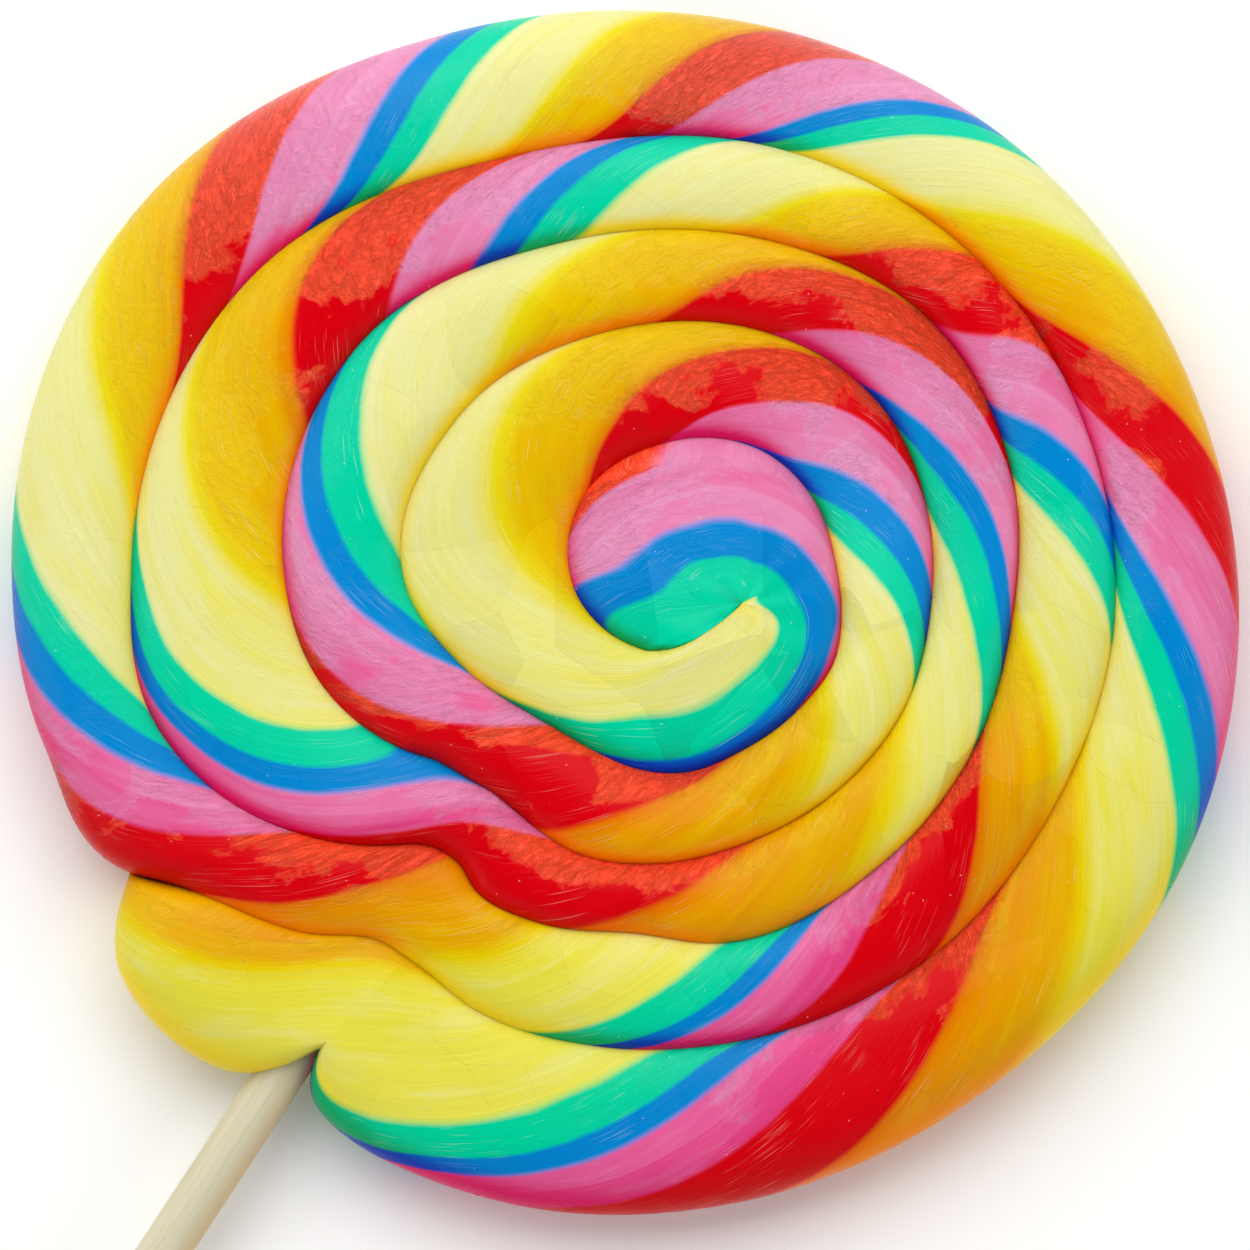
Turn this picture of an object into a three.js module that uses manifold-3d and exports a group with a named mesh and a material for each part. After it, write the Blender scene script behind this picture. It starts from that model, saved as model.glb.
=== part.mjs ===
// A swirl lollipop: a rope of boiled sugar coiled flat while it was warm and pressed on a table, with a
// wooden stick pushed into its edge, under the rope's outer end.
// Millimetres, +Z up. It lies on its flat back, with the stick along -Y.
import * as THREE from "three";
import { mergeVertices } from "three/addons/utils/BufferGeometryUtils.js";
import Module from "manifold-3d";

// Driving dimensions
const EYE = { x: 12.9, y: 4 }; // the middle of the swirl, from the origin on the stick's axis
const CREST_HEIGHT = 12; // of a turn of ordinary width
const USUAL_WIDTH = 11; // of a turn
const FLATTENING = 0.08; // how far a crest sinks for each mm that its turn is wider than that
const RIM_HEIGHT = 5.6; // of the widest line round the outside
const GROOVE_DEPTH = 2.1; // between two turns, on the front
const BACK_GROOVE_DEPTH = 1.2; // and on the pressed back
const BACK_GROOVE_REACH = 2.4; // how far from the seam the back is flat again
const BACK_RIM_REACH = 4.5; // and how far from the outline
const BACK_REACH_LIMIT = 0.4; // of a turn's width
const TAIL_ROUNDING = 10; // degrees over which the rope's outer end rises to its full height
const SEAM_RISE = 6; // degrees over which the seam behind that end rises from the rim
const LEVELLING = { before: 420, over: 60 }; // degrees before the seam's end where the crests become level
const GROOVE_CLOSING = { before: 6, over: 20 }; // and where its groove has closed
const STICK = { diameter: 5, length: 180, axisHeight: 5.4, tipY: -14, chamfer: 0.4, sides: 32 };
const SOCKET_GAP = 0.3;

// The seam is the line where a turn meets the next one. It starts as the swirl's outline, at the nick
// where the rope's outer end lies against the turn behind it, and winds inwards to the eye. Each row is
// one turn of it, as distances from the eye at the stations, which are angles in degrees.
const STATIONS = [
  237, 240, 243, 246, 250, 255, 261, 270, 285, 300,
  330, 360, 390, 420, 450, 480, 510, 540, 570, 585,
];
const SEAM_ROWS = [
  [
    67.0, 70.2, 72.2, 72.7, 72.2, 70.5, 67.6, 66.4, 64.0, 60.7,
    54.6, 51.6, 49.9, 50.1, 53.1, 57.7, 64.1, 72.3, 73.3, 71.3,
  ],
  [
    67.0, 63.0, 60.1, 57.9, 54.9, 50.1, 48.6, 48.6, 46.6, 44.2,
    40.2, 37.2, 37.2, 38.5, 41.7, 45.7, 50.1, 58.9, 61.1, 59.8,
  ],
  [
    53.0, 50.5, 47.8, 44.7, 40.2, 38.5, 39.2, 38.0, 34.7, 34.0,
    29.7, 27.4, 27.0, 30.0, 33.9, 36.4, 40.3, 46.2, 45.8, 42.5,
  ],
  [
    36.6, 34.6, 33.4, 32.5, 31.4, 30.8, 30.5, 29.9, 27.4, 24.6,
    21.0, 19.3, 18.8, 20.7, 24.3, 27.3, 30.3, 33.9, 33.7, 29.0,
  ],
  [
    25.0, 24.1, 23.4, 22.7, 22.0, 21.3, 20.6, 19.7, 17.8, 15.2,
    12.1, 10.9, 9.9, 10.3, 12.7, 15.7, 17.8, 19.1, 16.6, 13.8,
  ],
  [11.2, 10.6, 9.5, 8.5, 6.5, 3.0, 0],
];
// Where the stick parts the outline, and the share by which the rope's shoulder is narrower there
const NOTCH = { angle: 259.7, depth: 6.6, spread: 1.8, steepening: 0.75 };

// The mesh: its steps of angle, and its places across a turn, where 0 is the outer seam and 1 the inner.
const FINE_STEP = 2; // round the stick's side
const FINE_STEPS = 15;
const COARSE_STEP = 7.5;
const FRONT_PLACES = [0, 0.05, 0.2, 0.4, 0.6, 0.8, 0.95, 1];
const BACK_SHOULDER_PLACES = [1, 0.6, 0.25, 0]; // 0 is the seam, and 1 where the back is flat

const seamKnots = SEAM_ROWS.flatMap((row, turn) =>
  row.map((radius, i) => [STATIONS[i] + 360 * turn, radius]),
);
const START = seamKnots[0][0];
const END = seamKnots.at(-1)[0];
const OUTLINE_END = START + 360;

const clamp01 = (x) => Math.min(1, Math.max(0, x));
const smooth = (x) => clamp01(x) ** 2 * (3 - 2 * clamp01(x));

// How far a round edge still has to rise: 1 at the edge itself, and 0 once it is all the way in. It is
// a quarter of an ellipse, steep at first.
const edgeFall = (inwards) => 1 - Math.sqrt(1 - (1 - clamp01(inwards)) ** 2);

// 1 at the notch, and less and less away from it.
const notchShare = (angle) => Math.exp(-Math.abs(angle - NOTCH.angle) / NOTCH.spread);

// The seam's distance from the eye, at an angle that counts on through the turns: a smooth curve
// through the stations, whose slope at a station is that of the parabola through it and its neighbours.
function seamRadius(angle) {
  if (angle >= END) return 0;
  const i = seamKnots.findIndex(([knotAngle]) => knotAngle > angle);
  const span = (k) => seamKnots[k][0] - seamKnots[k - 1][0];
  const rise = (k) => (seamKnots[k][1] - seamKnots[k - 1][1]) / span(k);
  const slope = (k) => {
    if (k === 0) return rise(1);
    if (k === seamKnots.length - 1) return rise(k);
    return (rise(k) * span(k + 1) + rise(k + 1) * span(k)) / (span(k) + span(k + 1));
  };
  const t = (angle - seamKnots[i - 1][0]) / span(i);
  const onCurve =
    seamKnots[i - 1][1] * (1 + 2 * t) * (1 - t) ** 2 +
    slope(i - 1) * span(i) * t * (1 - t) ** 2 +
    seamKnots[i][1] * t ** 2 * (3 - 2 * t) -
    slope(i) * span(i) * t ** 2 * (1 - t);
  return onCurve - NOTCH.depth * notchShare(angle);
}

// A turn's crest is lower where the turn is wide, low at the rope's outer end, and level round the eye.
function crestHeight(angle) {
  const width = seamRadius(angle) - seamRadius(angle + 360);
  const nearEye = smooth((angle - (END - LEVELLING.before)) / LEVELLING.over);
  const crest = CREST_HEIGHT - FLATTENING * (width - USUAL_WIDTH) * (1 - nearEye);
  return crest - (crest - RIM_HEIGHT) * edgeFall((angle - START) / TAIL_ROUNDING);
}

// The height of the seam itself: the rim's along the outline, then the bottom of a groove that closes
// just before the eye.
function seamHeight(angle, levelHeight, grooveDepth) {
  if (angle <= OUTLINE_END) return RIM_HEIGHT;
  const isOpen = smooth((END - GROOVE_CLOSING.before - angle) / GROOVE_CLOSING.over);
  const groove = levelHeight + grooveDepth * isOpen;
  return THREE.MathUtils.lerp(RIM_HEIGHT, groove, smooth((angle - OUTLINE_END) / SEAM_RISE));
}

const frontSeamHeight = (angle) => {
  const crests = crestHeight(Math.max(angle - 360, START)) + crestHeight(Math.min(angle, END));
  return seamHeight(angle, crests / 2, -GROOVE_DEPTH);
};
const backSeamHeight = (angle) => seamHeight(angle, 0, BACK_GROOVE_DEPTH);

// The rope's last line is too short to have places between its ends.
function pointAt(angle, place, height) {
  const across = angle > END - 1.5 * FINE_STEP ? Math.floor(place) : place;
  const radius = THREE.MathUtils.lerp(seamRadius(angle), seamRadius(angle + 360), across);
  const turned = THREE.MathUtils.degToRad(angle);
  return [EYE.x + radius * Math.cos(turned), EYE.y + radius * Math.sin(turned), height];
}

// A line of points across the front of a turn: a crest with a round shoulder down to each seam.
function frontLine(angle) {
  const crest = crestHeight(angle);
  const outerShoulder = 1 - NOTCH.steepening * notchShare(angle);
  return FRONT_PLACES.map((place) => {
    const toOuter = (crest - frontSeamHeight(angle)) * edgeFall((2 * place) / outerShoulder);
    const toInner = (crest - frontSeamHeight(angle + 360)) * edgeFall(2 - 2 * place);
    return pointAt(angle, place, crest - toOuter - toInner);
  });
}

// A line of points across the back, which lies flat but for a small shoulder at each seam.
function backLine(angle) {
  const width = seamRadius(angle) - seamRadius(angle + 360);
  const shoulder = (seamAngle) => {
    const reach = seamAngle <= OUTLINE_END ? BACK_RIM_REACH : BACK_GROOVE_REACH;
    const share = Math.min(BACK_REACH_LIMIT, reach / Math.max(width, 0.01));
    const height = backSeamHeight(seamAngle);
    return BACK_SHOULDER_PLACES.map((inwards) => [inwards * share, height * edgeFall(inwards)]);
  };
  const outer = shoulder(angle).reverse();
  const inner = shoulder(angle + 360).map(([place, height]) => [1 - place, height]);
  return [...outer, ...inner].map(([place, height]) => pointAt(angle, place, height));
}

// The angles of the lines, the same in every turn, so that neighbours meet point to point at the seam.
function lineAngles() {
  const fineEnd = START + FINE_STEP * FINE_STEPS;
  const coarseSteps = (OUTLINE_END - fineEnd) / COARSE_STEP;
  const fine = Array.from({ length: FINE_STEPS }, (_, i) => START + FINE_STEP * i);
  const coarse = Array.from({ length: coarseSteps }, (_, i) => fineEnd + COARSE_STEP * i);
  const oneTurn = [...fine, ...coarse];
  const all = SEAM_ROWS.flatMap((_, turn) => oneTurn.map((angle) => angle + 360 * turn));
  return all.filter((angle) => angle <= END);
}

// A face between each line of points and the next, with a corner shared wherever two points meet.
function sugarGeometry() {
  const positions = [];
  const indices = [];
  const cornerAt = new Map();
  const corner = (point) => {
    const key = point.map((x) => x.toFixed(3)).join();
    if (!cornerAt.has(key)) {
      cornerAt.set(key, positions.length / 3);
      positions.push(...point);
    }
    return cornerAt.get(key);
  };
  const addFace = (a, b, c) => {
    if (a !== b && b !== c && c !== a) indices.push(a, b, c);
  };
  const angles = lineAngles();
  for (const [makeLine, isFront] of [[frontLine, true], [backLine, false]]) {
    const lines = angles.map((angle) => makeLine(angle).map(corner));
    for (let i = 1; i < lines.length; i++) {
      const [first, second] = isFront ? [lines[i - 1], lines[i]] : [lines[i], lines[i - 1]];
      for (let j = 1; j < first.length; j++) {
        addFace(first[j - 1], second[j - 1], second[j]);
        addFace(first[j - 1], second[j], first[j]);
      }
    }
  }
  const geometry = new THREE.BufferGeometry();
  geometry.setAttribute("position", new THREE.Float32BufferAttribute(positions, 3));
  geometry.setIndex(indices);
  return geometry;
}

// A round bar along -Y from its tip, with the corners of both ends taken off.
function barGeometry(radius, length, chamfer, sides) {
  const profile = [
    [0, 0],
    [radius - chamfer, 0],
    [radius, chamfer],
    [radius, length - chamfer],
    [radius - chamfer, length],
    [0, length],
  ].map(([x, y]) => new THREE.Vector2(x, y));
  return new THREE.LatheGeometry(profile, sides).rotateX(Math.PI);
}

const wasm = await Module();
wasm.setup();

function toSolid(geometry) {
  const bare = geometry.clone();
  bare.deleteAttribute("normal");
  bare.deleteAttribute("uv");
  const merged = mergeVertices(bare, 1e-4);
  return new wasm.Manifold(
    new wasm.Mesh({
      numProp: 3,
      vertProperties: merged.attributes.position.array,
      triVerts: new Uint32Array(merged.index.array),
    }),
  );
}

function toGeometry(solid) {
  const mesh = solid.getMesh();
  const geometry = new THREE.BufferGeometry();
  geometry.setAttribute("position", new THREE.BufferAttribute(mesh.vertProperties, 3));
  geometry.setIndex(new THREE.BufferAttribute(mesh.triVerts, 1));
  const faceted = geometry.toNonIndexed();
  faceted.computeVertexNormals();
  return faceted;
}

// The sugar, with a socket that the stick fills
const socket = barGeometry(
  STICK.diameter / 2 + SOCKET_GAP,
  STICK.length + 2 * SOCKET_GAP,
  STICK.chamfer,
  STICK.sides,
).translate(0, STICK.tipY + SOCKET_GAP, STICK.axisHeight);
const candy = new THREE.Mesh(
  toGeometry(toSolid(sugarGeometry()).subtract(toSolid(socket))),
  new THREE.MeshStandardMaterial({ color: 0xe8b23c, roughness: 0.12, metalness: 0 }),
);
candy.name = "candy";

const stick = new THREE.Mesh(
  barGeometry(STICK.diameter / 2, STICK.length, STICK.chamfer, STICK.sides),
  new THREE.MeshStandardMaterial({ color: 0xded6ba, roughness: 0.7, metalness: 0 }),
);
stick.name = "stick";
stick.position.set(0, STICK.tipY, STICK.axisHeight);

const lollipop = new THREE.Group();
lollipop.add(candy, stick);
export default lollipop;
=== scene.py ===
"""A swirl lollipop, lying on its back: a rope of boiled sugar in six colours, twisted, coiled flat while warm
and pressed on a slab, on a birch stick. The camera looks straight down on it."""

import bpy
import numpy as np
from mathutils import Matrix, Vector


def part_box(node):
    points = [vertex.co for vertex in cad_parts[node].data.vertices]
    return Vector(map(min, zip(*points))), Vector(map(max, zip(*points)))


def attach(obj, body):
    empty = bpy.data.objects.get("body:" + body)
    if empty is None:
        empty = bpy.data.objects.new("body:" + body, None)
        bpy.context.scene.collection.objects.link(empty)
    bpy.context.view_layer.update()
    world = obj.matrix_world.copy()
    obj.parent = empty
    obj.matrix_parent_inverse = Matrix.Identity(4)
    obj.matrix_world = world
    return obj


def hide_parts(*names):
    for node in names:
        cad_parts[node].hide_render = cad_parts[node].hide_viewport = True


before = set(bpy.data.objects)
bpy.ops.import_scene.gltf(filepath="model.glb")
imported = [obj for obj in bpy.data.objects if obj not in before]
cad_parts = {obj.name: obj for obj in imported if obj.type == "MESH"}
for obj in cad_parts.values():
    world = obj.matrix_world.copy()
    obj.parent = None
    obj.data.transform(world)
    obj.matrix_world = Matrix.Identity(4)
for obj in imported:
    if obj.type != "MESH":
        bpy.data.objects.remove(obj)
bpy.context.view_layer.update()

MM = 0.001

# Where the stick lies, as in the frame, in millimetres
STICK_LOW, STICK_HIGH = (np.array(corner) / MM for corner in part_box("stick"))
STICK_RADIUS = (STICK_HIGH[0] - STICK_LOW[0]) / 2
STICK_AXIS_HEIGHT = (STICK_HIGH[2] + STICK_LOW[2]) / 2

# The swirl's sizes in millimetres
EYE = np.array([12.9, 4.0])  # the middle of the swirl
CREST_HEIGHT = 12.0  # of a turn of ordinary width
USUAL_WIDTH = 11.0  # of a turn
FLATTENING = 0.08  # how far a crest sinks for each mm that its turn is wider than that
RIM_HEIGHT = 5.6  # of the widest line round the outside
GROOVE_DEPTH = 2.1  # between two turns, on the front
UNEVENNESS = 0.12  # half of the most that the front is pressed down
BACK_GROOVE_DEPTH = 1.2  # on the pressed back
BACK_GROOVE_REACH = 2.4  # how far from the seam the back is flat again
BACK_RIM_REACH = 4.5  # and how far from the outline
BACK_REACH_LIMIT = 0.4  # of a turn's width
LEAST_WIDTH = 0.01  # of a turn, in a division by its width

ROUNDNESS = 2.3  # of a crest's shoulders: a superellipse's exponent
GROOVE_CUT = 0.03  # the share of a shoulder that is pressed into its neighbour's
TAIL_ROUNDING = 10  # degrees over which the rope's outer end rises to its full height
SEAM_RISE = 6  # degrees over which the seam behind that end rises from the rim
LEVELLING_BEFORE, LEVELLING_OVER = 420, 60  # degrees before the seam's end where the crests become level
GROOVE_CLOSED_BEFORE, GROOVE_CLOSING_OVER = 6, 20  # and where its groove has closed
UNEVEN_WAVES = (5.1, 3.3)  # to a turn of the rope
UNEVEN_SLANT = 200  # degrees of the second wave from one seam to the other

# The seam between the turns, as its distance from the eye at each station, an angle in degrees. It starts as
# the outline, at the nick beside the rope's outer end, and each row is one turn of it further in.
STATIONS = [
    *(237, 240, 243, 246, 250, 255, 261, 270, 285, 300),
    *(330, 360, 390, 420, 450, 480, 510, 540, 570, 585),
]
SEAM_ROWS = [
    [
        *(67.0, 70.2, 72.2, 72.7, 72.2, 70.5, 67.6, 66.4, 64.0, 60.7),
        *(54.6, 51.6, 49.9, 50.1, 53.1, 57.7, 64.1, 72.3, 73.3, 71.3),
    ],
    [
        *(67.0, 63.0, 60.1, 57.9, 54.9, 50.1, 48.6, 48.6, 46.6, 44.2),
        *(40.2, 37.2, 37.2, 38.5, 41.7, 45.7, 50.1, 58.9, 61.1, 59.8),
    ],
    [
        *(53.0, 50.5, 47.8, 44.7, 40.2, 38.5, 39.2, 38.0, 34.7, 34.0),
        *(29.7, 27.4, 27.0, 30.0, 33.9, 36.4, 40.3, 46.2, 45.8, 42.5),
    ],
    [
        *(36.6, 34.6, 33.4, 32.5, 31.4, 30.8, 30.5, 29.9, 27.4, 24.6),
        *(21.0, 19.3, 18.8, 20.7, 24.3, 27.3, 30.3, 33.9, 33.7, 29.0),
    ],
    [
        *(25.0, 24.1, 23.4, 22.7, 22.0, 21.3, 20.6, 19.7, 17.8, 15.2),
        *(12.1, 10.9, 9.9, 10.3, 12.7, 15.7, 17.8, 19.1, 16.6, 13.8),
    ],
    [11.2, 10.6, 9.5, 8.5, 6.5, 3.0, 0],
]
# Where the stick parts the outline, and the share by which the rope's shoulder is narrower there
NOTCH_ANGLE, NOTCH_DEPTH, NOTCH_SPREAD, NOTCH_STEEPENING = 259.7, 6.6, 1.8, 0.75
NOTCH_SIDE_FOOT = -0.5  # the place across the rope that its colours have come to at the foot of that notch
NOTCH_SIDE_FADING = 0.6  # the power of the notch's own fading by which this ends beside it

# The rope's colours in the order they come, each with the share of a whole twist at which it begins
COLOUR_STARTS = {"yellow": 0.0, "green": 0.25, "blue": 0.33, "pink": 0.41, "red": 0.56, "orange": 0.76}

FIRST_TWIST = -0.14  # the rope's outer end is orange

# Each row is one twist of the rope: the angles at which its colours begin along the crest
TWIST_ROWS = [
    [246.5, 278.5, 287.5, 293, 307.5, 327],
    [352.5, 376, 384, 391.5, 409, 425],
    [447.5, 464, 468.5, 472, 482.5, 491],
    [502, 513, 517.5, 521.5, 531.5, 541],
    [555, 575, 580.5, 586, 595, 610],
    [627.5, 650.5, 660, 665.5, 682, 708],
    [736, 764.5, 774.5, 783.5, 800, 819],
    [835.5, 857.5, 866.5, 872.5, 885, 901.5],
    [925, 945.5, 953.5, 959, 972, 1009],
    [1061, 1108, 1130, 1145, 1177, 1205],
    [1239.5, 1271.5, 1284, 1293, 1316, 1353],
    [1415, 1478, 1496, 1517, 1551, 1587],
    [1632, 1740],
]
LAST_ROW = len(TWIST_ROWS) - 1

# Round the eye the rope is hardly twisted: the share of the last twist that it has reached at each angle
LAST_TWIST = {
    **{1770: 0.26, 1800: 0.28, 1830: 0.314, 1860: 0.337, 1890: 0.374, 1920: 0.405, 1950: 0.407},
    **{1980: 0.382, 2010: 0.32, 2025: 0.26, 2061: 0.24},
}
# The angle by which a stripe lags behind from the outer seam of a turn to its inner one
STRIPE_LAGS = {
    **{237: 8, 245: 42, 275: 48, 300: 46, 400: 48, 465: 36, 500: 28, 550: 29, 612: 17, 650: 30, 700: 43},
    **{740: 46, 775: 36, 800: 20, 820: 30, 885: 34, 915: 38, 945: 36, 958: 20, 975: 29, 990: 32, 1040: 50},
    **{1090: 65, 1125: 92, 1160: 88, 1215: 45, 1300: 46, 1335: 25, 1375: 66, 1425: 50, 1460: 80, 1520: 108},
    **{1560: 90, 1600: 0, 2061: 0},
}
# The angle by which a stripe is further back at both seams than a straight one would be
STRIPE_BOWS = {
    **{237: 0, 262: 0, 278: 9, 300: 5, 325: 0, 560: 0, 650: 7, 700: 0, 800: 0, 860: 4, 940: 10, 953: 10},
    **{960: 7, 972: 0, 1000: 0, 1060: 4, 1125: 8, 1180: 2, 1275: 7, 1320: 3, 1360: 0, 1460: 8, 1500: 10},
    **{1560: 6, 1600: 0, 2061: 0},
}
# Near the eye, the share of a twist by which it leans from seam to seam instead
STRIPE_LEANS = {
    **{237: 0, 1540: 0, 1600: 0.50, 1650: 0.25, 1690: 0.35, 1740: 0.33, 1800: 0.42, 1830: 0.28, 1860: 0.36},
    **{1890: 0.46, 1920: 0.54, 1965: 0.59, 1995: 0.46, 2010: 0.20, 2061: 0.15},
}
EYE_FROM = 1860  # the angle from which the rope is the eye
RED_BEGINS, RED_FULL = 1956, 1985  # the angles between which the red on the eye's edge fades in
RED_GROWTH = 0.002  # of a twist, for each degree of that
SQUEEZE_MARGIN = 0.04  # how much of a twist it begins before the stripe that is squeezed out
SQUEEZE = 0.12  # the share that is left of what lies past that

SEAM_ANGLES = np.array(
    [STATIONS[i] + 360.0 * turn for turn, row in enumerate(SEAM_ROWS) for i in range(len(row))]
)
SEAM_RADII = np.array([radius for row in SEAM_ROWS for radius in row])
START, END = SEAM_ANGLES[0], SEAM_ANGLES[-1]
OUTLINE_END = START + 360

SEAM_MARGIN = 0.02  # the share of a turn's width by which its colours are laid in from each seam

FRONT_STEPS = 24  # of the mesh, across a turn
BACK_STEPS = 5  # and across a shoulder on the back
BESIDE_STICK = (250, 266)  # the angles between which its lines are closer together
LENGTH_STEPS = 4000  # in the sum that measures the rope


# ---- The swirl's shape ----


def smooth(x):
    """0 up to 0 and 1 from 1, along a cubic that is level at both ends."""
    x = np.clip(x, 0, 1)
    return x * x * (3 - 2 * x)


def curve(x, knots, values, keeps_level=False):
    """A cubic between each two knots. Its slope at a knot is that of the parabola through the knot and its
    neighbours, or, where it may not overshoot, the harmonic mean of the slopes on both sides."""
    knots = np.asarray(knots, float)
    values = np.asarray(values, float)
    spans = np.diff(knots)
    rises = np.diff(values) / spans
    slopes = np.concatenate([rises[:1], np.zeros(len(rises) - 1), rises[-1:]])
    before, after = rises[:-1], rises[1:]
    if keeps_level:
        same_way = before * after > 0
        mean = 2 * before * after / np.where(same_way, before + after, 1)
        slopes[1:-1] = np.where(same_way, mean, 0)
    else:
        slopes[1:-1] = (before * spans[1:] + after * spans[:-1]) / (spans[1:] + spans[:-1])
    i = np.clip(np.searchsorted(knots, x, side="right") - 1, 0, len(spans) - 1)
    t = np.clip((x - knots[i]) / spans[i], 0, 1)
    return (
        values[i] * (1 + 2 * t) * (1 - t) ** 2
        + slopes[i] * spans[i] * t * (1 - t) ** 2
        + values[i + 1] * t * t * (3 - 2 * t)
        - slopes[i + 1] * spans[i] * t * t * (1 - t)
    )


def table_curve(angle, table):
    """The curve through a table of values by angle, which doesn't overshoot them."""
    return curve(angle, list(table), list(table.values()), keeps_level=True)


def notch_share(angle):
    """1 at the notch over the stick, falling exponentially to 0 on both sides of it."""
    return np.exp(-np.abs(angle - NOTCH_ANGLE) / NOTCH_SPREAD)


def seam_radius(angle, notched=True):
    """The seam's distance from the eye: the curve through the stations, less the notch over the stick."""
    radius = curve(angle, SEAM_ANGLES, SEAM_RADII) - NOTCH_DEPTH * notch_share(angle) * notched
    return np.where(angle >= END, 0, radius)


def edge_fall(inwards, roundness=2.0):
    """How far a round edge still has to rise: 1 at the edge, 0 all the way in, and between them a quarter of
    a superellipse, whose exponent is its roundness."""
    left = 1 - np.clip(inwards, 0, 1)
    return 1 - (1 - left**roundness) ** (1 / roundness)


def groove_fall(inwards, seam_angle):
    """The fall to a seam: a superellipse shoulder, whose last steep part is cut off where the seam is a
    groove between two turns, as they are pressed together there, and kept where it is the rim."""
    cut = GROOVE_CUT * smooth((seam_angle - OUTLINE_END) / SEAM_RISE)
    return edge_fall(cut + (1 - cut) * inwards, ROUNDNESS) / edge_fall(cut, ROUNDNESS)


def crest_height(angle):
    """A turn's crest: lower where the turn is wide, low at the rope's outer end, and level round the eye."""
    width = seam_radius(angle, False) - seam_radius(angle + 360, False)
    near_eye = smooth((angle - (END - LEVELLING_BEFORE)) / LEVELLING_OVER)
    crest = CREST_HEIGHT - FLATTENING * (width - USUAL_WIDTH) * (1 - near_eye)
    return crest - (crest - RIM_HEIGHT) * edge_fall((angle - START) / TAIL_ROUNDING)


def seam_height(angle, level_height, groove_depth):
    """The rim's height along the outline, then the bottom of a groove that closes just before the eye."""
    groove = level_height + groove_depth * smooth((END - GROOVE_CLOSED_BEFORE - angle) / GROOVE_CLOSING_OVER)
    past_outline = smooth((angle - OUTLINE_END) / SEAM_RISE)
    return RIM_HEIGHT + (groove - RIM_HEIGHT) * past_outline


def front_seam_height(angle):
    """The mean of the crests on both sides of the seam, less the groove's depth."""
    crests = crest_height(np.maximum(angle - 360, START)) + crest_height(np.minimum(angle, END))
    return seam_height(angle, crests / 2, -GROOVE_DEPTH)


def line_angles():
    """The angles of the lines across the rope: a degree apart, and a quarter of that round the stick. They
    are the same in every turn, so that neighbours meet point to point."""
    low, high = BESIDE_STICK
    coarse, fine, rest = np.arange(START, low), np.arange(low, high, 0.25), np.arange(high, OUTLINE_END)
    one_turn = np.concatenate([coarse, fine, rest])
    angles = (one_turn + 360 * np.arange(len(SEAM_ROWS))[:, None]).ravel()
    return angles[angles <= END]


def front_surface(angles):
    """For each angle, points across the front, closer together towards the seams: the crest's height, less a
    superellipse shoulder down to each seam, less a slow unevenness from where the sugar was pressed. The
    unevenness is the product of two sines along the rope, the second of which also turns across it."""
    place = (1 - np.cos(np.pi * np.arange(FRONT_STEPS + 1) / FRONT_STEPS)) / 2
    angle, place = np.meshgrid(angles, place, indexing="ij")
    crest = crest_height(angle)
    outer_shoulder = 1 - NOTCH_STEEPENING * notch_share(angle)
    to_outer = (crest - front_seam_height(angle)) * groove_fall(2 * place / outer_shoulder, angle)
    to_inner = (crest - front_seam_height(angle + 360)) * groove_fall(2 - 2 * place, angle + 360)
    first, second = UNEVEN_WAVES
    wave = np.sin(np.radians(first * angle)) * np.sin(np.radians(second * angle + UNEVEN_SLANT * place))
    uneven = 4 * place * (1 - place) * UNEVENNESS * (1 + wave)
    return angle, place, crest - to_outer - to_inner - uneven


def back_surface(angles):
    """The same across the back, which is flat but for a small round shoulder at each seam."""
    inwards = 1 - np.cos(np.pi / 2 * np.arange(BACK_STEPS + 1) / BACK_STEPS)
    width = seam_radius(angles) - seam_radius(angles + 360)
    lines = []
    for seam_angles in (angles, angles + 360):
        reach = np.where(seam_angles <= OUTLINE_END, BACK_RIM_REACH, BACK_GROOVE_REACH)
        share = np.minimum(BACK_REACH_LIMIT, reach / np.maximum(width, LEAST_WIDTH))
        height = seam_height(seam_angles, 0, BACK_GROOVE_DEPTH)
        lines.append((share[:, None] * inwards, height[:, None] * edge_fall(inwards)))
    (outer_place, outer_height), (inner_place, inner_height) = lines
    place = np.concatenate([outer_place, 1 - inner_place[:, ::-1]], axis=1)
    height = np.concatenate([outer_height, inner_height[:, ::-1]], axis=1)
    return np.broadcast_to(angles[:, None], place.shape), place, height


def rope_length(angle):
    """How far along the rope a line is: the length of the spiral half way between its seams."""
    steps = np.linspace(START, END, LENGTH_STEPS)
    middle = (seam_radius(steps, False) + seam_radius(steps + 360, False)) / 2
    turned = np.radians(steps)
    hops = np.hypot(np.diff(middle * np.cos(turned)), np.diff(middle * np.sin(turned)))
    return np.interp(angle, steps, np.concatenate([[0], np.cumsum(hops)]))


def squeeze(twist, limit, where):
    """Where this is asked, what lies past a limit is squeezed towards it, to a small share of its width."""
    return np.where(where, limit + SQUEEZE * (twist - limit), twist)


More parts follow.
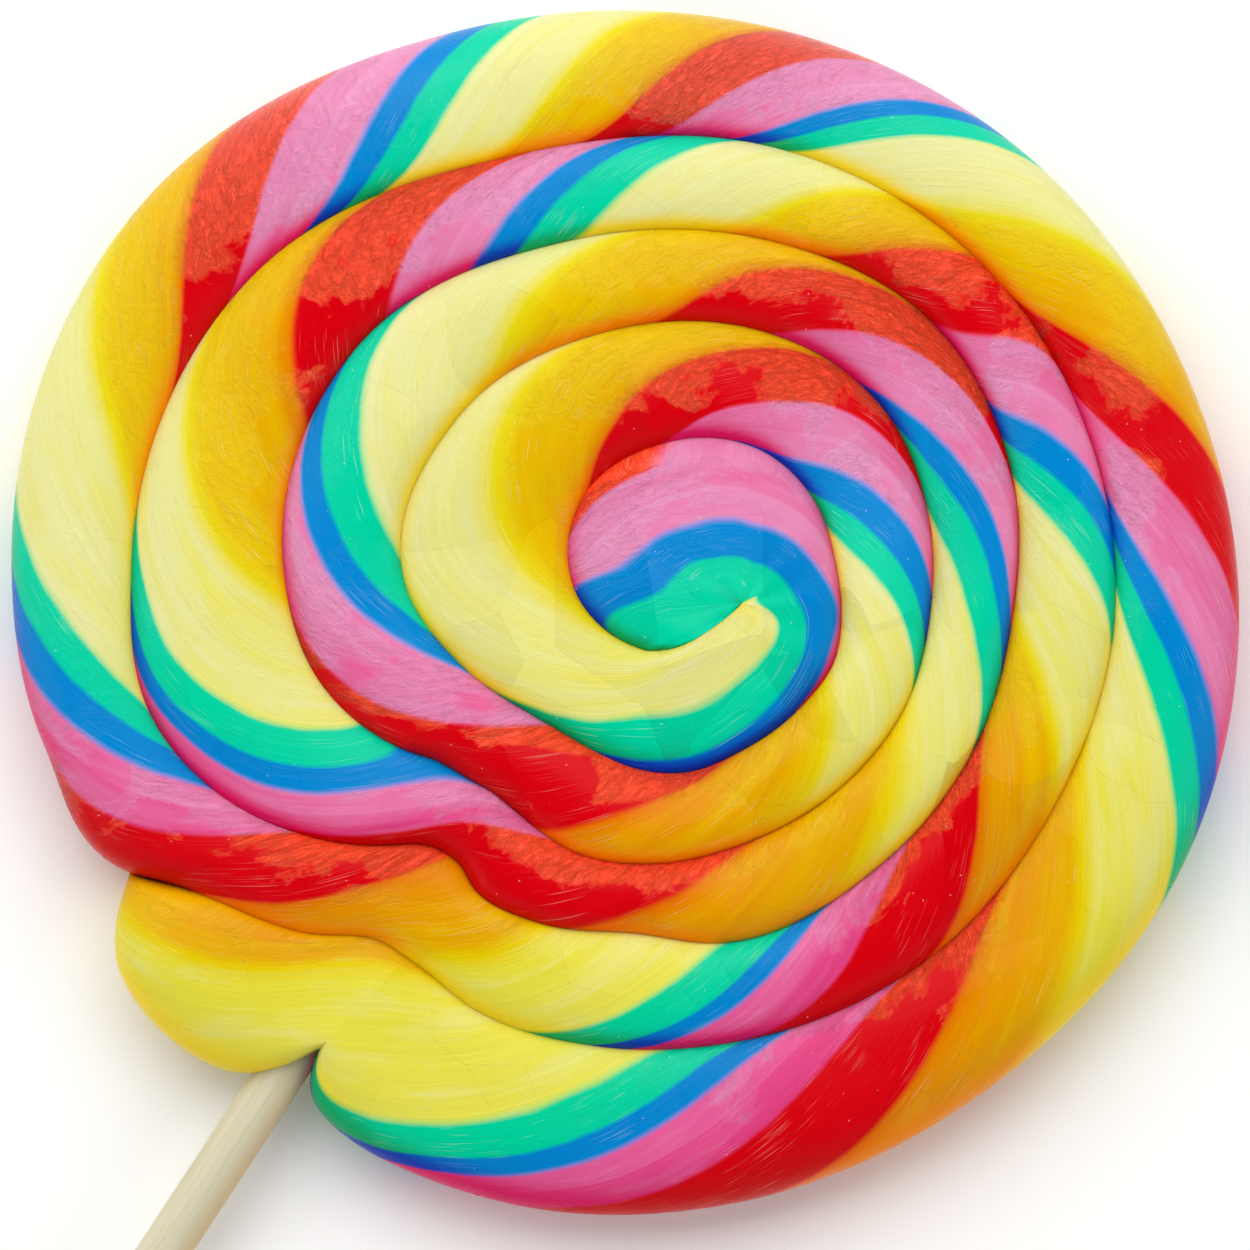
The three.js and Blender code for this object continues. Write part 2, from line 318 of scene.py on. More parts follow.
def twist_at(angle, across):
    """How many twists of colour a point is along the rope: those at the crest, taken as far back as the
    stripe lags there and forward by its bow, less its lean. Across is 0 at the outer seam and 1 at the inner.
    In the eye the yellow inside the green is squeezed out, and so is the red, which fades in further on."""
    knots = {START: FIRST_TWIST}
    for twist, row in enumerate(TWIST_ROWS):
        knots.update({begins: twist + share for begins, share in zip(row, COLOUR_STARTS.values())})
    knots.update({begins: LAST_ROW + share for begins, share in LAST_TWIST.items()})
    lag, bow, lean = (table_curve(angle, table) for table in (STRIPE_LAGS, STRIPE_BOWS, STRIPE_LEANS))
    lagging = angle - lag * (across - 0.5) + bow * (2 * across - 1) ** 2
    twist = table_curve(lagging, knots) - lean * (across - 0.5)
    lowest = LAST_ROW + COLOUR_STARTS["green"] + SQUEEZE_MARGIN
    red_shown = np.maximum(RED_GROWTH * (angle - RED_BEGINS), -SQUEEZE_MARGIN)
    highest = LAST_ROW + COLOUR_STARTS["red"] + red_shown
    without_yellow = squeeze(twist, lowest, twist < lowest)
    in_eye = squeeze(without_yellow, highest, (without_yellow > highest) & (angle < RED_FULL))
    return np.where(angle > EYE_FROM, in_eye, twist)


def rope_patch(angle, place, height):
    """The points of a surface of the rope, and its two maps: (twists, across) and (mm along, mm across).
    Across goes by the angle round a half circle, so that the stripes curve down to the seams. Past the notch
    it is carried on, down the side where the rope parts from the stick."""
    outer, inner = seam_radius(angle), seam_radius(angle + 360)
    radius = outer + (inner - outer) * place
    turned = np.radians(angle)
    points = np.stack([EYE[0] + radius * np.cos(turned), EYE[1] + radius * np.sin(turned), height], axis=-1)
    plain_outer = seam_radius(angle, False)
    plain_place = (plain_outer - radius) / np.maximum(plain_outer - inner, LEAST_WIDTH)
    inset_place = SEAM_MARGIN + (1 - 2 * SEAM_MARGIN) * plain_place
    across = np.arccos(np.clip(1 - 2 * inset_place, -1, 1)) / np.pi
    notch = notch_share(angle)
    side = edge_fall(2 * place / (1 - NOTCH_STEEPENING * notch))
    down_side = (angle > NOTCH_ANGLE) * notch**NOTCH_SIDE_FADING * side
    across = across - (across - NOTCH_SIDE_FOOT) * down_side
    stripes = np.stack([twist_at(angle, across), across], axis=-1)
    lengths = np.stack([rope_length(angle), (plain_place - 0.5) * (plain_outer - inner)], axis=-1)
    return points, stripes, lengths


def grid_triangles(rows, columns, flip=False):
    """Two triangles for each cell of a grid of points numbered row by row."""
    corner = np.arange(rows * columns).reshape(rows, columns)
    a, b = corner[:-1, :-1].ravel(), corner[:-1, 1:].ravel()
    c, d = corner[1:, 1:].ravel(), corner[1:, :-1].ravel()
    triangles = np.concatenate([np.stack([a, d, c], 1), np.stack([a, c, b], 1)])
    return triangles[:, ::-1] if flip else triangles


def put_mesh(name, points, triangles, maps, material, sharp_angle=None):
    """Makes an object of points in millimetres. Points that coincide become one, and triangles that lose a
    side by that are left out. Each map gives a pair of values for each point before they are joined."""
    merged, joined = np.unique(np.round(points, 4), axis=0, return_inverse=True)
    corners = joined.reshape(-1)[triangles]
    whole = np.all(corners != np.roll(corners, 1, axis=1), axis=1)
    corners, triangles = corners[whole], triangles[whole]
    mesh = bpy.data.meshes.new(name)
    mesh.vertices.add(len(merged))
    mesh.vertices.foreach_set("co", (merged * MM).ravel())
    mesh.loops.add(corners.size)
    mesh.loops.foreach_set("vertex_index", corners.ravel())
    mesh.polygons.add(len(corners))
    mesh.polygons.foreach_set("loop_start", np.arange(0, corners.size, 3))
    mesh.polygons.foreach_set("use_smooth", np.ones(len(corners), bool))
    for map_name, values in maps.items():
        layer = mesh.uv_layers.new(name=map_name)
        layer.uv.foreach_set("vector", values[triangles.ravel()].ravel())
    mesh.update(calc_edges=True)
    mesh.validate()
    if sharp_angle:
        mesh.set_sharp_from_angle(angle=np.radians(sharp_angle))
    mesh.materials.append(material)
    piece = bpy.data.objects.new(name, mesh)
    bpy.context.scene.collection.objects.link(piece)
    return piece


# ---- Materials ----


def linear(hex_colour):
    """An sRGB hex colour as linear red, green, blue and alpha."""
    channels = [int(hex_colour[i : i + 2], 16) / 255 for i in (1, 3, 5)]
    return [c / 12.92 if c <= 0.04045 else ((c + 0.055) / 1.055) ** 2.4 for c in channels] + [1.0]


def add(tree, kind, inputs=(), **settings):
    """Adds a node. Inputs are pairs of a socket's name or number and its value or the socket it is linked
    to."""
    node = tree.nodes.new(kind)
    for name, value in settings.items():
        setattr(node, name, value)
    for name, value in dict(inputs).items():
        if isinstance(value, bpy.types.NodeSocket):
            tree.links.new(value, node.inputs[name])
        else:
            node.inputs[name].default_value = value
    return node


def new_material(name):
    """An empty material with its tree and its principled shader."""
    material = bpy.data.materials.new(name)
    material.use_nodes = True
    tree = material.node_tree
    return material, tree, tree.nodes["Principled BSDF"]


def fill_ramp(node, stops):
    """Gives a colour ramp its stops, as pairs of place and sRGB hex colour, or a plain number for a share."""
    elements = node.color_ramp.elements
    while len(elements) > 1:
        elements.remove(elements[-1])
    for number, (place, colour) in enumerate(stops):
        element = elements[0] if number == 0 else elements.new(place)
        element.position = place
        element.color = linear(colour) if isinstance(colour, str) else [colour] * 3 + [1.0]


# The stripes across one twist, from the middle of the pink. Each stop has three colours: glassy sugar on the
# crest; the same, paler, where its skin is crazed, which is a painted sheen of the key softbox; and a deeper
# tone in the grooves, a painted shade with the glow of light passing through more sugar. Last comes how much
# the skin crazes and so takes that painted sheen. Yellow and orange run a little into each other.
RAMP_START = 0.48
STRIPE_STOPS = [
    (0.48, "#D4447C", "#D47FA6", "#D8145E", 0.35),
    (0.552, "#D03A74", "#D07CA4", "#D8145E", 0.35),
    (0.563, "#C8000C", "#F24420", "#C80008", 1.0),
    (0.752, "#C8000C", "#F24420", "#CC0804", 1.0),
    (0.766, "#D26A00", "#D68000", "#EC6400", 0.4),
    (0.80, "#D48200", "#D8A600", "#F08000", 0.25),
    (0.96, "#D49C00", "#D8B800", "#F09400", 0.25),
    (0.995, "#D6BC00", "#D8C810", "#F2B400", 0.1),
    (1.035, "#D6CC38", "#D6D284", "#F0CC10", 0.1),
    (1.238, "#D6CF4C", "#D6D494", "#ECD230", 0.1),
    (1.247, "#B4D060", "#B8D48C", "#B4C820", 0.1),
    (1.257, "#00C28E", "#00C296", "#00A866", 0.15),
    (1.324, "#00BE90", "#00C09A", "#00A062", 0.15),
    (1.335, "#0078BC", "#007CC0", "#0038AC", 0.15),
    (1.400, "#007ABE", "#007EC2", "#0034AC", 0.15),
    (1.409, "#7A74C0", "#8A88CC", "#3C30B0", 0.2),
    (1.418, "#D6548A", "#D688AE", "#D8145E", 0.35),
]
# These two ways point to where the light comes from: they place the painted sheen and the painted groove
# shade
KEY_LIGHT_WAY = (-0.55, 0.84, 0)  # towards the key softbox, over the part of the rim that lies furthest from the stick
SHEEN_WAY = (-0.85, 0.53, 0)  # towards the part of the rim where the skin is crazed most and its painted sheen of the light is strongest


def sugar_places(tree):
    """What the sugar's patterns go by: its two maps, where it lies, and how far it lies and faces towards the
    key softbox, for its painted sheen and painted groove shade, and towards the most crazed part of the rim,
    for the painted sheen on crazed skin."""
    stripes = add(tree, "ShaderNodeUVMap", uv_map="stripes").outputs[0]
    split = add(tree, "ShaderNodeSeparateXYZ", {0: stripes})
    rope = add(tree, "ShaderNodeUVMap", uv_map="rope").outputs[0]
    coordinates = add(tree, "ShaderNodeTexCoord")
    place, facing = coordinates.outputs["Object"], coordinates.outputs["Normal"]
    ways = {}
    for name, vector, way in (
        ("far_lit", place, KEY_LIGHT_WAY),
        ("facing_lit", facing, KEY_LIGHT_WAY),
        ("far_sheen", place, SHEEN_WAY),
        ("facing_sheen", facing, SHEEN_WAY),
    ):
        dot = add(tree, "ShaderNodeVectorMath", {0: vector, 1: way}, operation="DOT_PRODUCT")
        ways[name] = dot.outputs["Value"]
    return {
        "twists": split.outputs[0],
        "across": split.outputs[1],
        "rope": rope,
        "along": add(tree, "ShaderNodeSeparateXYZ", {0: rope}).outputs[0],
        "place": place,
        **ways,
    }


def drawn_out(tree, sugar, per_twist, length, detail, roughness=0.5, distortion=0.0):
    """Noise that the pulling has drawn out along the stripes: so many to a twist, and so many mm long."""
    place = add(tree, "ShaderNodeMath", {0: sugar["twists"], 1: per_twist}, operation="MULTIPLY")
    end = add(tree, "ShaderNodeMath", {0: sugar["along"], 1: 1 / length}, operation="MULTIPLY")
    vector = add(tree, "ShaderNodeCombineXYZ", {0: place.outputs[0], 1: end.outputs[0]}).outputs[0]
    shape = {"Scale": 1.0, "Detail": detail, "Roughness": roughness, "Distortion": distortion}
    return add(tree, "ShaderNodeTexNoise", {"Vector": vector, **shape}).outputs[0]


def stripe_colours(tree, sugar):
    """The colours of glassy sugar, of its painted sheen where crazed and of its painted groove shade here,
    and how much it crazes. The stripes' edges wander by a few tenths of a millimetre over 6 mm of rope."""
    wander = add(tree, "ShaderNodeTexNoise", {"Vector": sugar["rope"], "Scale": 0.16, "Detail": 2.0})
    wandering = add(
        tree, "ShaderNodeMath", {0: wander.outputs[0], 1: 0.014, 2: -0.007}, operation="MULTIPLY_ADD"
    )
    wandered = add(tree, "ShaderNodeMath", {0: sugar["twists"], 1: wandering.outputs[0]}, operation="ADD")
    from_start = add(tree, "ShaderNodeMath", {0: wandered.outputs[0], 1: RAMP_START}, operation="SUBTRACT")
    within = add(tree, "ShaderNodeMath", {0: from_start.outputs[0]}, operation="FRACT").outputs[0]
    ramps = [add(tree, "ShaderNodeValToRGB", {0: within}) for _ in range(4)]
    for column, ramp in enumerate(ramps, start=1):
        fill_ramp(ramp, [(stop[0] - RAMP_START, stop[column]) for stop in STRIPE_STOPS])
    return [ramp.outputs[0] for ramp in ramps]


def groove_shade_share(tree, sugar):
    """The share of the deep colour, a painted shade and glow: 0 along the crest and 1 at both seams, and
    sooner on the slopes that face away from the key softbox.
    """
    off_crest = add(
        tree, "ShaderNodeMath", {0: sugar["across"], 1: 2.0, 2: -1.0}, operation="MULTIPLY_ADD"
    )
    to_seam = add(tree, "ShaderNodeMath", {0: off_crest.outputs[0]}, operation="ABSOLUTE").outputs[0]
    shaded_side = add(
        tree, "ShaderNodeMath", {0: sugar["facing_lit"], 1: -0.45, 2: to_seam}, operation="MULTIPLY_ADD"
    )
    return add(
        tree,
        "ShaderNodeMapRange",
        {"Value": shaded_side.outputs[0], "From Min": 0.5, "From Max": 1.0},
        interpolation_type="SMOOTHSTEP",
    ).outputs[0]


def crazed_sheen_patches(tree, sugar):
    """1 in torn patches about 8 mm across, and 0 between them: crazed skin, which takes a painted sheen of
    the light, so there are more of them towards the light's side, far from the stick, and on the slopes that
    face that way."""
    patches = add(
        tree,
        "ShaderNodeTexNoise",
        {"Vector": sugar["rope"], "Scale": 0.12, "Detail": 5.0, "Roughness": 0.62, "Distortion": 0.5},
    ).outputs[0]
    further = add(
        tree, "ShaderNodeMath", {0: sugar["far_sheen"], 1: 2.6, 2: patches}, operation="MULTIPLY_ADD"
    )
    likely = add(
        tree,
        "ShaderNodeMath",
        {0: sugar["facing_sheen"], 1: 0.5, 2: further.outputs[0]},
        operation="MULTIPLY_ADD",
    )
    return add(
        tree, "ShaderNodeMapRange", {"Value": likely.outputs[0], "From Min": 0.48, "From Max": 0.54}
    ).outputs[0]


def sheen_and_streaks(tree, sugar, crazing_and_sheen, crazing_share):
    """The share of the paler colour, which is a painted sheen of the key softbox. What crazes much takes it
    where it is crazed. What crazes little takes it only evenly and by degrees, away from the stick towards
    that softbox, with streaks of paler and of clearer sugar where it was pulled unevenly."""
    pale = add(
        tree,
        "ShaderNodeMapRange",
        {"Value": sugar["far_lit"], "From Min": -0.055, "From Max": 0.02},
        interpolation_type="SMOOTHSTEP",
    )
    paled = add(tree, "ShaderNodeMix", {0: crazing_share, 2: pale.outputs[0], 3: crazing_and_sheen})
    streaks = drawn_out(tree, sugar, per_twist=18.0, length=12, detail=3.0, roughness=0.6, distortion=0.4)
    streaked = add(
        tree,
        "ShaderNodeMapRange",
        {"Value": streaks, "From Min": 0.35, "From Max": 0.65, "To Min": -0.35, "To Max": 0.35},
    )
    streak_share = add(tree, "ShaderNodeMath", {0: 1.0, 1: crazing_share}, operation="SUBTRACT")
    return add(
        tree,
        "ShaderNodeMath",
        {0: streaked.outputs[0], 1: streak_share.outputs[0], 2: paled.outputs[0]},
        operation="MULTIPLY_ADD",
        use_clamp=True,
    ).outputs[0]


def shading(tree, ribs, wrinkled_skin):
    """The faint shadows of the ribs and of the crazed skin's wrinkles."""
    shade = add(
        tree,
        "ShaderNodeMapRange",
        {"Value": ribs, "From Min": 0.3, "From Max": 0.7, "To Min": 0.96, "To Max": 1.03},
    ).outputs[0]
    return add(
        tree, "ShaderNodeMath", {0: wrinkled_skin, 1: 0.8, 2: shade}, operation="MULTIPLY_ADD"
    ).outputs[0]


def flecks(tree, sugar):
    """Pale scratches along the stripes, 5 mm long and a tenth wide, in a few places, and pinprick bubbles,
    0.15 mm across, one in each 1.8 mm."""
    scratches = drawn_out(tree, sugar, per_twist=380.0, length=5, detail=1.0)
    scratch_line = add(
        tree, "ShaderNodeMapRange", {"Value": scratches, "From Min": 0.63, "From Max": 0.74, "To Max": 0.2}
    )
    places = add(tree, "ShaderNodeTexNoise", {"Vector": sugar["rope"], "Scale": 0.15, "Detail": 1.0})
    scratch_share = add(
        tree, "ShaderNodeMapRange", {"Value": places.outputs[0], "From Min": 0.48, "From Max": 0.56}
    )
    scratched = add(
        tree,
        "ShaderNodeMath",
        {0: scratch_line.outputs[0], 1: scratch_share.outputs[0]},
        operation="MULTIPLY",
    )
    bubbles = add(tree, "ShaderNodeTexVoronoi", {"Vector": sugar["rope"], "Scale": 0.55})
    distance = bubbles.outputs["Distance"]
    pricks = add(
        tree,
        "ShaderNodeMapRange",
        {"Value": distance, "From Min": 0.025, "From Max": 0.05, "To Min": 0.45, "To Max": 0.0},
    )
    return add(
        tree, "ShaderNodeMath", {0: pricks.outputs[0], 1: scratched.outputs[0]}, operation="MAXIMUM"
    ).outputs[0]


def dents(tree, sugar):
    """Flat dents 12 mm across, each a plane tilted its own way, with a crease wherever two of them meet. They
    are deeper near the eye, where the slab pressed hardest."""
    place = sugar["place"]
    flats = add(tree, "ShaderNodeTexVoronoi", {"Vector": place, "Scale": 85.0, "Randomness": 1.0})
    off_centre = add(
        tree, "ShaderNodeVectorMath", {0: place, 1: flats.outputs["Position"]}, operation="SUBTRACT"
    )
    tilt = add(
        tree, "ShaderNodeVectorMath", {0: flats.outputs["Color"], 1: (0.5, 0.5, 0.5)}, operation="SUBTRACT"
    )
    tilted = add(
        tree, "ShaderNodeVectorMath", {0: off_centre.outputs[0], 1: tilt.outputs[0]}, operation="DOT_PRODUCT"
    )
    top_of_eye = (*EYE * MM, CREST_HEIGHT * MM)
    from_eye = add(tree, "ShaderNodeVectorMath", {0: place, 1: top_of_eye}, operation="DISTANCE")
    pressed = add(
        tree,
        "ShaderNodeMapRange",
        {
            "Value": from_eye.outputs["Value"],
            "From Min": 0.025,
            "From Max": 0.045,
            "To Min": 1.0,
            "To Max": 0.25,
        },
    )
    return add(
        tree, "ShaderNodeMath", {0: tilted.outputs["Value"], 1: pressed.outputs[0]}, operation="MULTIPLY"
    ).outputs[0]


def relief(tree, sugar, ribs, wrinkled_skin):
    """The way that the uneven sugar faces: dents, ribs on them, and on those the wrinkles of its skin. A
    bump's distance is what one unit of its pattern is in metres."""
    dented = add(tree, "ShaderNodeBump", {"Strength": 1.0, "Distance": 0.32, "Height": dents(tree, sugar)})
    ribbed = add(
        tree,
        "ShaderNodeBump",
        {"Strength": 1.0, "Distance": 0.00005, "Height": ribs, "Normal": dented.outputs[0]},
    )
    return add(
        tree,
        "ShaderNodeBump",
        {"Strength": 1.0, "Distance": 0.0008, "Height": wrinkled_skin, "Normal": ribbed.outputs[0]},
    ).outputs[0]


def boiled_sugar():
    """Boiled sugar, pulled until it is opaque, coloured and rolled: nearly as glossy as glass, finely ribbed
    and streaked along the stripes by the pulling, with pinprick bubbles, and crazed in torn patches, most of
    all the red, where the wrinkled skin has dried hard and shines like varnish. Its colour also holds painted
    light: a paler painted sheen of the key softbox on the crazed skin and on the side towards that softbox,
    and a deeper painted shade in the grooves."""
    material, tree, shader = new_material("boiled sugar")
    sugar = sugar_places(tree)
    # Of these colours, the crazed one is a painted sheen of the key softbox on crazed skin, and the deep one
    # is painted shade in the grooves
    glassy, crazed, deep_shade_colour, crazing_share = stripe_colours(tree, sugar)
    crazing_and_sheen = crazed_sheen_patches(tree, sugar)
    skin = add(tree, "ShaderNodeMath", {0: crazing_and_sheen, 1: crazing_share}, operation="MULTIPLY").outputs[0]
    # The share of the paler colour: a painted sheen of the key softbox, with streaks of paler and clearer
    # sugar in it
    pale = sheen_and_streaks(tree, sugar, crazing_and_sheen, crazing_share)
    surface = add(tree, "ShaderNodeMix", {0: pale, 6: glassy, 7: crazed}, data_type="RGBA").outputs[2]
    # Painted shade and glow in the grooves, and on the slopes that face away from the key softbox
    shade_in_grooves = groove_shade_share(tree, sugar)
    colour = add(tree, "ShaderNodeMix", {0: shade_in_grooves, 6: surface, 7: deep_shade_colour}, data_type="RGBA").outputs[2]

    ribs = drawn_out(tree, sugar, per_twist=150.0, length=25, detail=3.0, roughness=0.6)
    wrinkles = drawn_out(tree, sugar, per_twist=44.0, length=1.2, detail=4.0, roughness=0.65, distortion=1.6)
    wrinkle_depth = add(tree, "ShaderNodeMath", {0: wrinkles, 1: 0.5}, operation="SUBTRACT").outputs[0]
    wrinkled_skin = add(tree, "ShaderNodeMath", {0: wrinkle_depth, 1: skin}, operation="MULTIPLY").outputs[0]
    shadows = shading(tree, ribs, wrinkled_skin)
    shaded = add(tree, "ShaderNodeVectorMath", {0: colour, "Scale": shadows}, operation="SCALE").outputs[0]
    speckled = add(
        tree,
        "ShaderNodeMix",
        {0: flecks(tree, sugar), 6: shaded, 7: linear("#DCD6C8")},
        data_type="RGBA",
    )
    tree.links.new(speckled.outputs[2], shader.inputs["Base Color"])

    normal = relief(tree, sugar, ribs, wrinkled_skin)
    tree.links.new(normal, shader.inputs["Normal"])

    # Its gloss comes and goes over about 15 mm, and is duller where the skin is crazed
    glosses = add(tree, "ShaderNodeTexNoise", {"Vector": sugar["place"], "Scale": 70.0, "Detail": 2.0})
    dullness = add(
        tree,
        "ShaderNodeMapRange",
        {"Value": glosses.outputs[0], "From Min": 0.42, "From Max": 0.6, "To Min": 0.34, "To Max": 0.16},
    ).outputs[0]
    roughness = add(tree, "ShaderNodeMath", {0: skin, 1: 0.12, 2: dullness}, operation="MULTIPLY_ADD")
    tree.links.new(roughness.outputs[0], shader.inputs["Roughness"])
    shader.inputs["Specular IOR Level"].default_value = 0.07
    shader.inputs["IOR"].default_value = 1.5

    # The varnish of the crazed skin shines most furthest from the stick
    furthest = add(
        tree,
        "ShaderNodeMapRange",
        {"Value": sugar["far_lit"], "From Min": 0.03, "From Max": 0.048, "To Min": 0.35, "To Max": 1.0},
    )
    varnish = add(tree, "ShaderNodeMath", {0: skin, 1: furthest.outputs[0]}, operation="MULTIPLY")
    tree.links.new(varnish.outputs[0], shader.inputs["Coat Weight"])
    tree.links.new(normal, shader.inputs["Coat Normal"])
    shader.inputs["Coat Roughness"].default_value = 0.16
    return material


def birch_wood():
    """Birch dowel, turned and sanded but not finished: pale cream, with faint fine grain along it, a painted
    shade that makes it browner along one side, and no gloss."""
    material, tree, shader = new_material("birch")
    place = add(tree, "ShaderNodeTexCoord").outputs["Object"]
    stretched = add(tree, "ShaderNodeMapping", {"Vector": place, "Scale": (1, 0.04, 1)})
    grain = add(tree, "ShaderNodeTexNoise", {"Vector": stretched.outputs[0], "Scale": 2200.0, "Detail": 5.0})
    tone = add(tree, "ShaderNodeValToRGB", {0: grain.outputs[0]})
    fill_ramp(tone, [(0.3, "#C0B898"), (0.5, "#C5BEA0"), (0.7, "#C9C2A9")])
    # A painted shade: the stick is browner towards its right side in the picture
    sideways = add(tree, "ShaderNodeSeparateXYZ", {0: place}).outputs[0]
    painted_side_shade = add(
        tree,
        "ShaderNodeMapRange",
        {"Value": sideways, "From Min": 0.0006, "From Max": 0.0024, "To Max": 0.9},
    )
    side_shaded_tone = add(
        tree,
        "ShaderNodeMix",
        {0: painted_side_shade.outputs[0], 6: tone.outputs[0], 7: linear("#D0B484")},
        data_type="RGBA",
    )
    tree.links.new(side_shaded_tone.outputs[2], shader.inputs["Base Color"])
    fibres = add(tree, "ShaderNodeBump", {"Strength": 0.3, "Distance": 0.00005, "Height": grain.outputs[0]})
    tree.links.new(fibres.outputs[0], shader.inputs["Normal"])
    shader.inputs["Roughness"].default_value = 0.62
    shader.inputs["IOR"].default_value = 1.45
    return material


def floor_paper():
    """A roll of white background paper: matt, with the faintest cloudiness."""
    material, tree, shader = new_material("background paper")
    place = add(tree, "ShaderNodeTexCoord")
    cloud = add(tree, "ShaderNodeTexNoise", {"Vector": place.outputs["Object"], "Scale": 6.0, "Detail": 2.0})
    tone = add(tree, "ShaderNodeValToRGB", {0: cloud.outputs[0]})
    fill_ramp(tone, [(0.3, "#F3F2F0"), (0.7, "#F6F5F3")])
    tree.links.new(tone.outputs[0], shader.inputs["Base Color"])
    shader.inputs["Roughness"].default_value = 0.9
    return material


# ---- The pieces ----


def make_candy():
    """The rope's front and back as two grids, joined along the outline and the seams."""
    angles = line_angles()
    points, maps, triangles = [], {"stripes": [], "rope": []}, []
    for surface, is_back in ((front_surface, False), (back_surface, True)):
        patch, stripes, lengths = rope_patch(*surface(angles))
        rows, columns = patch.shape[:2]
        already = sum(len(part) for part in points)
        triangles.append(grid_triangles(rows, columns, flip=is_back) + already)
        points.append(patch.reshape(-1, 3))
        maps["stripes"].append(stripes.reshape(-1, 2))
        maps["rope"].append(lengths.reshape(-1, 2))
    maps = {name: np.concatenate(parts) for name, parts in maps.items()}
    points, triangles = np.concatenate(points), np.concatenate(triangles)
    candy = put_mesh("candy_swirl", points, triangles, maps, boiled_sugar(), sharp_angle=50)
    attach(candy, "root")
    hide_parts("candy")


# How far in from each end of the stick a circle lies, and how much less its radius is, in millimetres
STICK_END = [(0, STICK_RADIUS), (0, 0.35), (0.1, 0.12)]
STICK_SIDES, STICK_RINGS = 64, 160
STICK_SWELLING, STICK_OUT_OF_ROUND = 0.006, 0.004  # half the share of its radius that each takes off at most


def make_stick():
    """A circle carried along the stick's axis. Its radius swells and thins along it in slow waves, and three
    times round it, by a few hundredths of a millimetre. It falls off round the two cut ends, whose last
    circles shrink to a point."""
    around = np.linspace(0, 2 * np.pi, STICK_SIDES + 1)
    along = np.linspace(STICK_LOW[1], STICK_HIGH[1], STICK_RINGS)
    low = [(STICK_LOW[1] + inwards, STICK_RADIUS - less) for inwards, less in STICK_END]
    high = [(STICK_HIGH[1] - inwards, STICK_RADIUS - less) for inwards, less in reversed(STICK_END)]
    body = [(y, STICK_RADIUS) for y in along[1:-1]]
    y, radius = np.array(low + body + high).T
    y, turn = np.meshgrid(y, around, indexing="ij")
    swelling = STICK_SWELLING * (1 + np.sin(0.11 * y + 1.3))
    out_of_round = STICK_OUT_OF_ROUND * (1 + np.cos(3 * turn + 0.02 * y))
    ring = radius[:, None] * (1 - swelling - out_of_round)
    points = np.stack([ring * np.sin(turn), y, STICK_AXIS_HEIGHT + ring * np.cos(turn)], axis=-1)
    points[:, -1] = points[:, 0]
    triangles = grid_triangles(*y.shape, flip=True)
    stick = put_mesh("birch_stick", points.reshape(-1, 3), triangles, {}, birch_wood(), sharp_angle=40)
    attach(stick, "root")
    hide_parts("stick")


# ---- The setting ----

# The middle of the view, its width, and how far above that the camera is, in millimetres
VIEW_CENTRE = np.array([4.31, -4.25, 8.0])
VIEW_WIDTH = 125.0
CAMERA_HEIGHT = 1200.0
VIEW_TURN = 33.2  # degrees by which the picture's upright leans to the left of the stick
FLOOR_REACH = 3000.0  # from the middle to each side of the paper


def make_camera():
    """Straight down on the swirl, with a long lens."""
    camera = bpy.data.cameras.new("camera")
    camera.sensor_width = 36
    camera.lens = camera.sensor_width * CAMERA_HEIGHT / VIEW_WIDTH
    camera.clip_start = 0.01
    camera.clip_end = 20
    holder = bpy.data.objects.new("camera", camera)
    holder.location = (VIEW_CENTRE + [0, 0, CAMERA_HEIGHT]) * MM
    holder.rotation_euler = (0, 0, np.radians(VIEW_TURN))
    bpy.context.scene.collection.objects.link(holder)
    bpy.context.scene.camera = holder


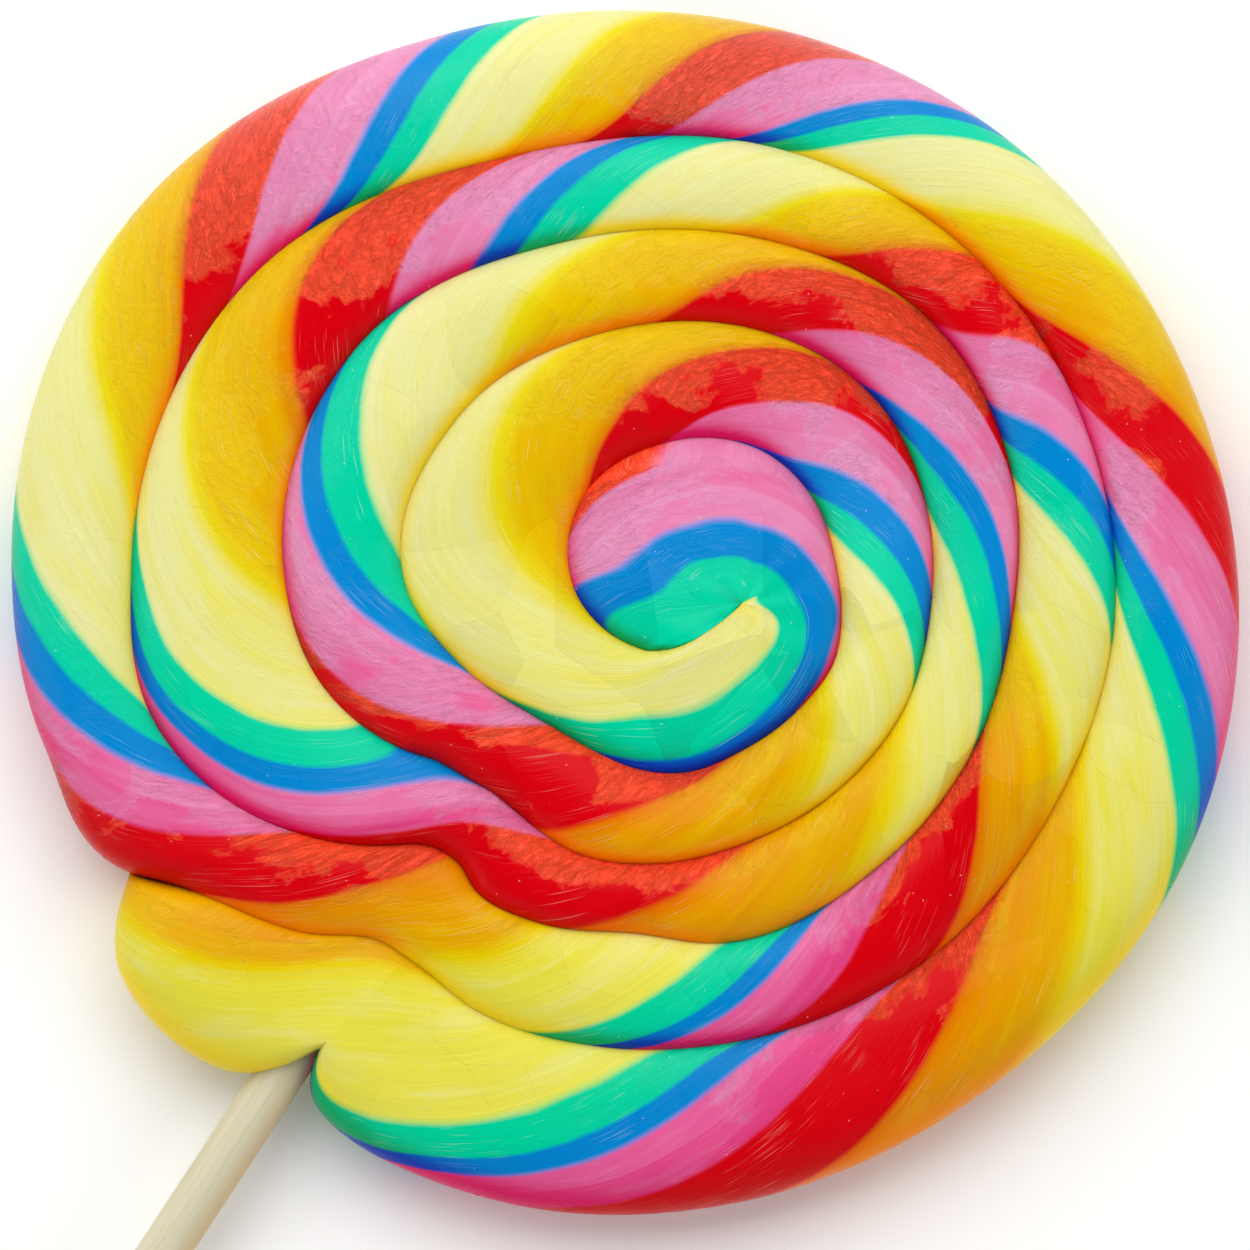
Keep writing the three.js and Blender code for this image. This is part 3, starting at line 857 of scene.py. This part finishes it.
def make_light(name, bearing, elevation, distance, width, height, power):
    """A softbox that faces the swirl. Its bearing is in degrees clockwise from the picture's upright, and its
    distance and size are in metres."""
    light = bpy.data.lights.new(name, "AREA")
    light.shape = "RECTANGLE"
    light.size = width
    light.size_y = height
    light.energy = power
    turned = np.radians(90 + VIEW_TURN - bearing)
    raised = np.radians(elevation)
    away = np.array([np.cos(raised) * np.cos(turned), np.cos(raised) * np.sin(turned), np.sin(raised)])
    holder = bpy.data.objects.new(name, light)
    holder.location = VIEW_CENTRE * MM + away * distance
    holder.rotation_euler = (np.pi / 2 - raised, 0, turned + np.pi / 2)
    bpy.context.scene.collection.objects.link(holder)


def make_floor():
    """White background paper, far wider than the view."""
    corners = np.array([[-1, -1, 0], [1, -1, 0], [1, 1, 0], [-1, 1, 0]]) * FLOOR_REACH
    floor = put_mesh("floor", corners, np.array([[0, 1, 2], [0, 2, 3]]), {}, floor_paper())


def make_surround():
    """An even pale surround, dimmer overhead, where the camera is."""
    world = bpy.data.worlds.new("surround")
    world.use_nodes = True
    tree = world.node_tree
    direction = add(tree, "ShaderNodeTexCoord")
    upwards = add(tree, "ShaderNodeSeparateXYZ", {0: direction.outputs["Generated"]})
    strength = add(
        tree,
        "ShaderNodeMapRange",
        {"Value": upwards.outputs[2], "From Min": 0.5, "From Max": 0.95, "To Min": 0.88, "To Max": 0.12},
        interpolation_type="SMOOTHSTEP",
    )
    surround = tree.nodes["Background"]
    surround.inputs["Color"].default_value = linear("#F4F5F7")
    tree.links.new(strength.outputs[0], surround.inputs["Strength"])
    bpy.context.scene.world = world


def make_setting():
    """The floor, a large softbox beyond the swirl's upper edge, two weaker ones at the sides and the
    surround."""
    make_floor()
    make_light("key softbox", bearing=-8, elevation=55, distance=0.6, width=0.9, height=0.55, power=4.3)
    make_light("right softbox", bearing=100, elevation=30, distance=1.2, width=0.8, height=0.6, power=1.5)
    make_light("left softbox", bearing=-110, elevation=30, distance=1.2, width=0.8, height=0.6, power=1.5)
    make_surround()
    bpy.context.scene.view_settings.view_transform = "Standard"


make_camera()
make_candy()
make_stick()
make_setting()
